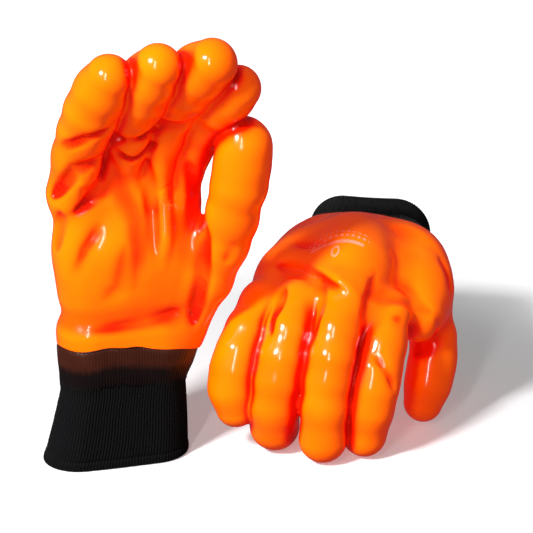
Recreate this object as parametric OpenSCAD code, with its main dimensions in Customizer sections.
// A pair of insulated work gloves with knit wrists, both for the right hand.
// One glove stands on its cuff with the palm forward; the other rests on its
// fingertips with the back of the hand up. Each glove is drawn once, in a hand
// frame: +X is the thumb side, -Y the palm side, and +Z runs from the cuff's
// end at z = 0 toward the fingers. place() then sets it down. Millimetres.

/* [Skin and liner] */
// Thickness of the dipped skin
skin_wall = 1.4; // [1.2:0.1:1.8]
// Thickness of the insulating liner
liner_wall = 1.3; // [1:0.1:1.6]
// Free space between a skin and the liner or cuff inside it
fit_gap = 0.15; // [0.1:0.05:0.3]
// Free space round a knuckle ball in its seat
seat_gap = 0.4; // [0.3:0.05:0.6]
// Free space a bent finger keeps from the rim of its seat
rim_gap = 0.6; // [0.5:0.1:1]

/* [Wrist] */
// Length of the knit cuff, from its hem to the seam at the wrist
cuff_length = 75; // [72:1:78]
// Thickness of the knit
knit_wall = 2; // [1.6:0.1:2.4]
// Height of the turned hem at the cuff's end
hem_height = 6; // [4:1:8]
// How far the hem stands out from the knit, and in from it
hem_lip = 0.7; // [0.4:0.1:1]
// Height at which the thin edge of the dip starts on the cuff
band_start = 45; // [42:1:48]
// Height at which the dip is thick enough to hide the knit
band_end = 72; // [71:0.5:73]
// Thickness of the dip's thin edge
band_wall = 0.9; // [0.7:0.1:1.1]
// Height of the stitched seam between the cuff and the liner
seam_height = 1.5; // [1:0.5:2]

/* [Places] */
// Standing glove, across
standing_x = -86.4; // [-96:0.1:-84]
// Standing glove, back
standing_y = -56.7; // [-64:0.1:-50]
// Standing glove's turn about the vertical
standing_turn = 16; // [10:1:20]
// Resting glove, across
resting_x = 51.6; // [50:0.1:60]
// Resting glove, back
resting_y = -42.7; // [-48:0.1:-36]
// Resting glove's turn about the vertical
resting_turn = -12; // [-16:1:-8]
// Height of the resting glove's hand plane above the floor
resting_height = 97; // [97:1:99]

/* [Hidden] */
$fn = 48;
hull_facets = 28;
disc = 0.02;
plate = 3.5;
cutter = 160;
profile_step = 15;

HANDS = ["standing", "resting"];
FINGERS = ["little", "ring", "middle", "index", "thumb"];

// One row for each finger: knuckle, middle joint and tip as points in the hand
// frame, then their radii, then how far the knuckle and the middle joint turn
// from this pose, in degrees, with bending toward the palm positive.
standing_fingers = [
    [[-17, -4, 170], [-19, -24, 206], [-10.5, -54, 243], [9.3, 10.3, 12.6], [-30, 30], [-25, 30]],
    [[2.5, -4, 170], [9, -22, 216], [17, -60, 250], [9.3, 10.3, 13.0], [-30, 30], [-25, 30]],
    [[22, -4, 170], [32, -20, 219], [45.5, -60, 251], [9.3, 10.3, 12.8], [-30, 25], [-25, 25]],
    [[41.5, -4, 170], [52, -12, 206], [65, -46, 230], [9.3, 10.3, 12.3], [-30, 4], [-20, 3]],
    [[54, -12, 92], [71, -30, 160], [77, -34, 196], [12, 12, 13.0], [-15, 0], [-12, 3]]
];
resting_fingers = [
    [[-47, -8, 157], [-59, -28, 178], [-62, -61, 184], [11.2, 11.2, 12.8], [-16, 10], [-20, 20]],
    [[-23, -4, 160], [-29, -27, 186], [-36, -83, 179], [11.2, 11.2, 14.0], [-30, 10], [-20, 20]],
    [[2, -4, 160], [0, -25, 186], [-5, -83.5, 190], [11.2, 11.2, 13.5], [-30, 10], [-20, 20]],
    [[27, -8, 157], [26, -36, 178], [22, -84.5, 178], [11.2, 11.2, 12.5], [-30, 10], [-20, 15]],
    [[51, -26, 94], [58, -52, 108], [51, -84.5, 122], [12, 12, 12.5], [-20, 0], [-20, 8]]
];
// A finger turns about the line across the hand. The thumb turns in toward the
// fingers about a line of its own, which lies square to the way it points.
standing_thumb_axis = [0, -1, 0];
resting_thumb_axis = [0, 0, -1];

// Cross-sections of the hand and cuff: pairs of round ends [x, y, radius] at a
// height, from the cuff's end up to the knuckles, then the root of the thumb.
standing_cuff_end = [[-23, 0, 22], [22, 0, 22]];
standing_waist = [[-13, 0, 20], [23, 0, 20]];
standing_wrist = [[-13, 0, 20.5], [26, 0, 20.5]];
standing_middle = [[-14, -1, 21], [28, 2, 21]];
standing_knuckles = [[-17, -3, 13.5], [42, -3, 13.5]];
standing_thumb_root = [[26, 0, 20.5], [37, -5, 16]];
resting_cuff_end = [[-25, -6, 24], [9, -6, 24]];
resting_waist = [[-25, -1, 22], [17, -1, 22]];
resting_wrist = [[-24, 0, 23.5], [20, 0, 23.5]];
resting_middle = [[-31, 2, 23], [24, 4, 26]];
resting_knuckles = [[-47, -7, 14.5], [28, -7, 14.5]];
resting_thumb_root = [[20, 0, 23.5], [31, -8, 18]];

function is_standing(hand) = hand == "standing";
function fingers(hand) = is_standing(hand) ? standing_fingers : resting_fingers;
function cuff_end(hand) = is_standing(hand) ? standing_cuff_end : resting_cuff_end;
function waist(hand) = is_standing(hand) ? standing_waist : resting_waist;
function wrist(hand) = is_standing(hand) ? standing_wrist : resting_wrist;
function middle(hand) = is_standing(hand) ? standing_middle : resting_middle;
function knuckles(hand) = is_standing(hand) ? standing_knuckles : resting_knuckles;

function thumb_root_at(hand) = is_standing(hand) ? standing_thumb_root : resting_thumb_root;

function knuckle(f) = f[0];
function mid_joint(f) = f[1];
function tip(f) = f[2];
function knuckle_r(f) = f[3][0];
function mid_r(f) = f[3][1];
function tip_r(f) = f[3][2];

function unit(v) = v / norm(v);
function base_way(f) = unit(mid_joint(f) - knuckle(f));
function tip_way(f) = unit(tip(f) - mid_joint(f));
// The line a finger bends about. Thumbs start further down the hand than fingers.
function bend_axis(f) = knuckle(f)[2] > hand_middle_z ? [1, 0, 0]
    : f == standing_fingers[4] ? standing_thumb_axis : resting_thumb_axis;
// A vector turned about a unit axis.
function turned(v, axis, angle) = v * cos(angle) + cross(axis, v) * sin(angle)
    + axis * (axis * v) * (1 - cos(angle));
function middle_of(range) = (range[0] + range[1]) / 2;
function half_of(range) = (range[1] - range[0]) / 2;
// The way a seat faces: the middle of the finger's travel.
function knuckle_seat_way(f) = turned(base_way(f), bend_axis(f), middle_of(f[4]));
function mid_seat_way(f) = turned(tip_way(f), bend_axis(f), middle_of(f[5]));
function rim_depth(radius, range) = radius * sin(half_of(range)) + rim_gap;
// The way the row of finger seats faces: square to the line across the hand.
function seat_row_way(hand) =
    let (way = knuckle_seat_way(fingers(hand)[1])) unit([0, way[1], way[2]]);

// How far the skin stands outside the cuff where it slips over it.
wrist_grow = skin_wall + 2 * fit_gap;
hand_middle_z = 115;
hand_top_z = 178;

// Sets a glove down: upright, or tipped onto its fingertips.
module place(hand) {
    if (is_standing(hand))
        translate([standing_x, standing_y, 0]) rotate([0, 0, standing_turn]) children();
    else
        translate([resting_x, resting_y, resting_height]) rotate([0, 0, resting_turn])
            translate([0, 160, 0]) rotate([90, 0, 0]) children();
}

// Stands the children on a point, with their +Z along a direction.
module toward(point, way) {
    translate(point) rotate([0, acos(way[2]), atan2(way[1], way[0])]) children();
}

// Everything past a plane that faces a direction.
module beyond(point, way) {
    toward(point, way) translate([-cutter / 2, -cutter / 2, 0]) cube(cutter);
}

// Two round ends at one height, grown by an amount, as thin discs for a hull.
module section(ends, z, grow = 0) {
    for (end = ends)
        translate([end[0], end[1], z]) cylinder(r = end[2] + grow, h = disc, $fn = hull_facets);
}

// A straight run between two sections.
module run(lower, lower_z, upper, upper_z, grow = 0) {
    hull() {
        section(lower, lower_z, grow);
        section(upper, upper_z - disc, grow);
    }
}

function blend(low, high, share) =
    [for (i = [0, 1]) low[i] * (1 - share) + high[i] * share];

// The cuff's outside section at any height.
function cuff_at(hand, z) = z < band_start
    ? blend(cuff_end(hand), waist(hand), z / band_start)
    : blend(waist(hand), wrist(hand), (z - band_start) / (cuff_length - band_start));

// A ring round the cuff between two heights on the same side of the waist.
module cuff_ring(hand, z0, z1, outer, inner) {
    difference() {
        run(cuff_at(hand, z0), z0, cuff_at(hand, z1), z1, outer);
        run(cuff_at(hand, z0), z0 - 1, cuff_at(hand, z1), z1 + 1, inner);
    }
}

// Points of a tube's outline with ball ends: radius r0 at 0, r1 at length.
function capsule_outline(r0, r1, length) =
    let (lean = -asin((r1 - r0) / length))
    concat(
        [[0, -r0]],
        [for (a = [-90 + profile_step : profile_step : lean - 4]) [r0 * cos(a), r0 * sin(a)]],
        [[r0 * cos(lean), r0 * sin(lean)], [r1 * cos(lean), length + r1 * sin(lean)]],
        [for (a = [profile_step : profile_step : 90 - profile_step])
            [r1 * cos(a), length + r1 * sin(a)]],
        [[0, length + r1]]);

module capsule(r0, r1, length) {
    rotate_extrude() polygon(capsule_outline(r0, r1, length));
}

// The space inside a tube: open through its first ball, round at the far end.
module hollow(r0, r1, length) {
    open_end = -2 * r0;
    rotate_extrude() polygon(concat(
        [[0, open_end], [r0, open_end], [r0, 0], [r1, length]],
        [for (a = [profile_step : profile_step : 90 - profile_step])
            [r1 * cos(a), length + r1 * sin(a)]],
        [[0, length + r1]]));
}

module base_hollow(f, wall) {
    length = norm(mid_joint(f) - knuckle(f));
    toward(knuckle(f), base_way(f)) hollow(knuckle_r(f) - wall, mid_r(f) - wall, length);
}

module tip_hollow(f, wall) {
    length = norm(tip(f) - mid_joint(f));
    toward(mid_joint(f), tip_way(f)) hollow(mid_r(f) - wall, tip_r(f) - wall, length);
}

// Makes room at the far end of a base tube for the ball of the tip tube.
module mid_seat(f) {
    way = mid_seat_way(f);
    beyond(mid_joint(f) - way * rim_depth(mid_r(f), f[5]), way);
    toward(mid_joint(f), way) rotate([90, 0, 0]) sphere(r = mid_r(f) + seat_gap);
}

module base_skin(f) {
    length = norm(mid_joint(f) - knuckle(f));
    color("orangered") difference() {
        toward(knuckle(f), base_way(f)) capsule(knuckle_r(f), mid_r(f), length);
        base_hollow(f, skin_wall);
        mid_seat(f);
    }
}

module tip_skin(f) {
    length = norm(tip(f) - mid_joint(f));
    color("orangered") difference() {
        toward(mid_joint(f), tip_way(f)) capsule(mid_r(f), tip_r(f), length);
        tip_hollow(f, skin_wall);
    }
}

// The liner follows the skin's inside, and starts a little way past the ball.
module base_liner(f) {
    color("ivory") difference() {
        base_hollow(f, skin_wall + fit_gap);
        base_hollow(f, skin_wall + fit_gap + liner_wall);
        beyond(knuckle(f) - base_way(f), -base_way(f));
        mid_seat(f);
    }
}

module tip_liner(f) {
    color("ivory") difference() {
        tip_hollow(f, skin_wall + fit_gap);
        tip_hollow(f, skin_wall + fit_gap + liner_wall);
        beyond(mid_joint(f) - tip_way(f), -tip_way(f));
    }
}

// The hand's body without the thumb, closed below the knuckles.
module hand_block(hand, shrink, lid) {
    way = seat_row_way(hand);
    f = fingers(hand)[1];
    difference() {
        hull() {
            section(wrist(hand), band_end, wrist_grow - shrink);
            section(middle(hand), hand_middle_z, -shrink);
            section(knuckles(hand), hand_top_z, -shrink);
        }
        beyond(knuckle(f) - way * (rim_depth(knuckle_r(f), f[4]) + lid), way);
    }
}

// The root of the thumb, ending square to the thumb's middle travel.
module thumb_root(hand, shrink, lid) {
    f = fingers(hand)[4];
    way = knuckle_seat_way(f);
    depth = rim_depth(knuckle_r(f), f[4]) + lid;
    difference() {
        hull() {
            section(thumb_root_at(hand), band_end, wrist_grow - shrink);
            toward(knuckle(f) - way * depth, way) cylinder(
                r = knuckle_r(f) + 2 - shrink, h = disc, $fn = hull_facets);
        }
        beyond(knuckle(f) - way * depth, way);
    }
}

// Ball seats and the ways through them into the fingers.
module hand_seats(hand, wall) {
    for (f = fingers(hand)) {
        toward(knuckle(f), knuckle_seat_way(f)) sphere(r = knuckle_r(f) + seat_gap);
        toward(knuckle(f), -knuckle_seat_way(f))
            cylinder(r = knuckle_r(f) - wall, h = knuckle_r(f) + plate + liner_wall);
    }
    thumb = fingers(hand)[4];
    swing = knuckle_r(thumb) * sin(half_of(thumb[4]));
    toward(knuckle(thumb), knuckle_seat_way(thumb))
        cylinder(r = knuckle_r(thumb) + swing + seat_gap, h = 4 * knuckle_r(thumb));
}

module hand_skin(hand) {
    color("orangered") difference() {
        union() {
            hand_block(hand, 0, 0);
            thumb_root(hand, 0, 0);
        }
        hand_block(hand, skin_wall, plate);
        thumb_root(hand, skin_wall, plate);
        run(wrist(hand), band_end - 1, wrist(hand), band_end + 1, wrist_grow - skin_wall);
        hand_seats(hand, skin_wall);
    }
}

module hand_liner(hand) {
    outside = skin_wall + fit_gap;
    inside = outside + liner_wall;
    start = cuff_length + seam_height;
    color("ivory") difference() {
        union() {
            hand_block(hand, outside, plate + fit_gap);
            thumb_root(hand, outside, plate + fit_gap);
        }
        hand_block(hand, inside, plate + liner_wall);
        thumb_root(hand, inside, plate + liner_wall);
        beyond([0, 0, start], [0, 0, -1]);
        hand_seats(hand, skin_wall);
    }
}

module dip_edge(hand) {
    color("saddlebrown")
        cuff_ring(hand, band_start, band_end, fit_gap + band_wall, fit_gap);
}

module knit_cuff(hand) {
    color("black") {
        cuff_ring(hand, hem_height, band_start, 0, -knit_wall);
        cuff_ring(hand, band_start, cuff_length, 0, -knit_wall);
    }
}

module cuff_hem(hand) {
    color("black") cuff_ring(hand, 0, hem_height, hem_lip, -knit_wall - hem_lip);
}

module wrist_seam(hand) {
    color("dimgray") difference() {
        run(wrist(hand), cuff_length, wrist(hand), cuff_length + seam_height, -0.3);
        run(wrist(hand), cuff_length - 1, wrist(hand), cuff_length + seam_height + 1, -knit_wall);
    }
}

for (hand = HANDS) {
    place(hand) hand_skin(hand);
    place(hand) hand_liner(hand);
    place(hand) dip_edge(hand);
    place(hand) knit_cuff(hand);
    place(hand) cuff_hem(hand);
    place(hand) wrist_seam(hand);
    for (i = [0 : len(FINGERS) - 1]) {
        name = str(hand, "_", FINGERS[i]);
        f = fingers(hand)[i];
        place(hand) base_skin(f);
        place(hand) tip_skin(f);
        place(hand) base_liner(f);
        place(hand) tip_liner(f);
    }
}
